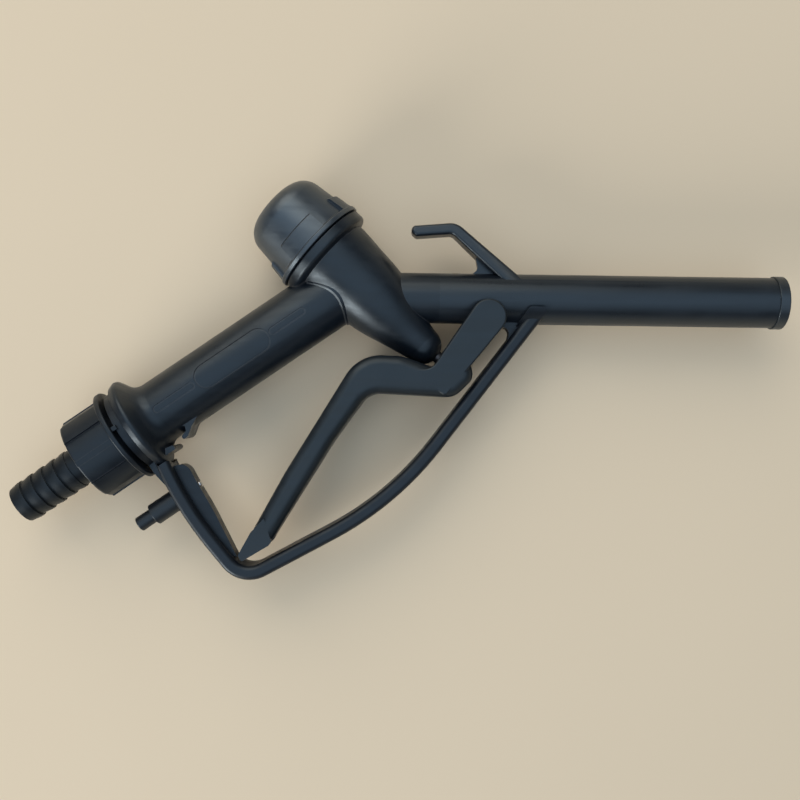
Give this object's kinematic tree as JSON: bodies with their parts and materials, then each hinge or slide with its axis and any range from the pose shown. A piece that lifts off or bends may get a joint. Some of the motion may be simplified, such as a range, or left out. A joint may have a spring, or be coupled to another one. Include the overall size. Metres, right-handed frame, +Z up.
{
  "type": "fuel nozzle",
  "caption": "Manual fuel nozzle lying on its side: straight spout with hanging hook, screw-capped valve housing, grip, trigger in a guard, hold-open latch, union nut and hose tail.",
  "frame": {"origin": "middle of the base of the bounding box, where the nozzle lies on its side", "axes": "+X along the spout towards its mouth, +Z up across the nozzle, normal to its symmetry plane"},
  "size_m": [0.3834, 0.198, 0.0518],
  "materials": {
    "black_pp": "satin moulded",
    "white_acetal": "smooth",
    "rubber": "matte",
    "steel": "turned",
    "spring_steel": "drawn wire"
  },
  "bodies": {
    "nozzle": {"valve_body": "black_pp", "valve_cap": "black_pp", "cap_oring": "rubber", "valve_seat": "white_acetal", "valve_spring": "spring_steel", "stem_gland": "white_acetal", "stem_orings": "rubber", "spout": "black_pp", "spout_tip": "black_pp", "pivot_pins": "steel", "trigger_guard": "black_pp", "latch_barrel": "black_pp", "latch_spring": "spring_steel", "union_nut": "black_pp", "inlet_gasket": "rubber", "hose_tail": "black_pp"},
    "lever": {"lever": "black_pp", "lever_pad": "white_acetal"},
    "valve": {"valve_stem": "steel", "valve_poppet": "white_acetal", "poppet_seal": "rubber", "seal_washer": "steel", "poppet_nut": "steel"},
    "latch": {"latch_button": "black_pp", "latch_pin": "steel"}
  },
  "joints": [
    {"name": "lever_pivot", "type": "hinge", "parent": "nozzle", "child": "lever", "pos_m": [0.04277, 0.03021, 0.0259], "axis": [0, 0, -1], "range_deg": [0, 16], "stiffness_Nm_per_rad": 1.6, "springref_deg": -28.65},
    {"name": "valve_slide", "type": "slide", "parent": "nozzle", "child": "valve", "axis": [-0.7385, 0.6743, 0], "range_m": [0, 0.0082], "deforming": ["valve_spring"]},
    {"name": "latch_slide", "type": "slide", "parent": "nozzle", "child": "latch", "axis": [0.8211, 0.5707, 0], "range_m": [0, 0.005], "stiffness_N_per_m": 400, "springref_m": -0.005, "deforming": ["latch_spring"]}
  ],
  "couplings": [
    {"joint": "valve_slide", "follows": "lever_pivot", "m_per_rad": 0.02885}
  ]
}
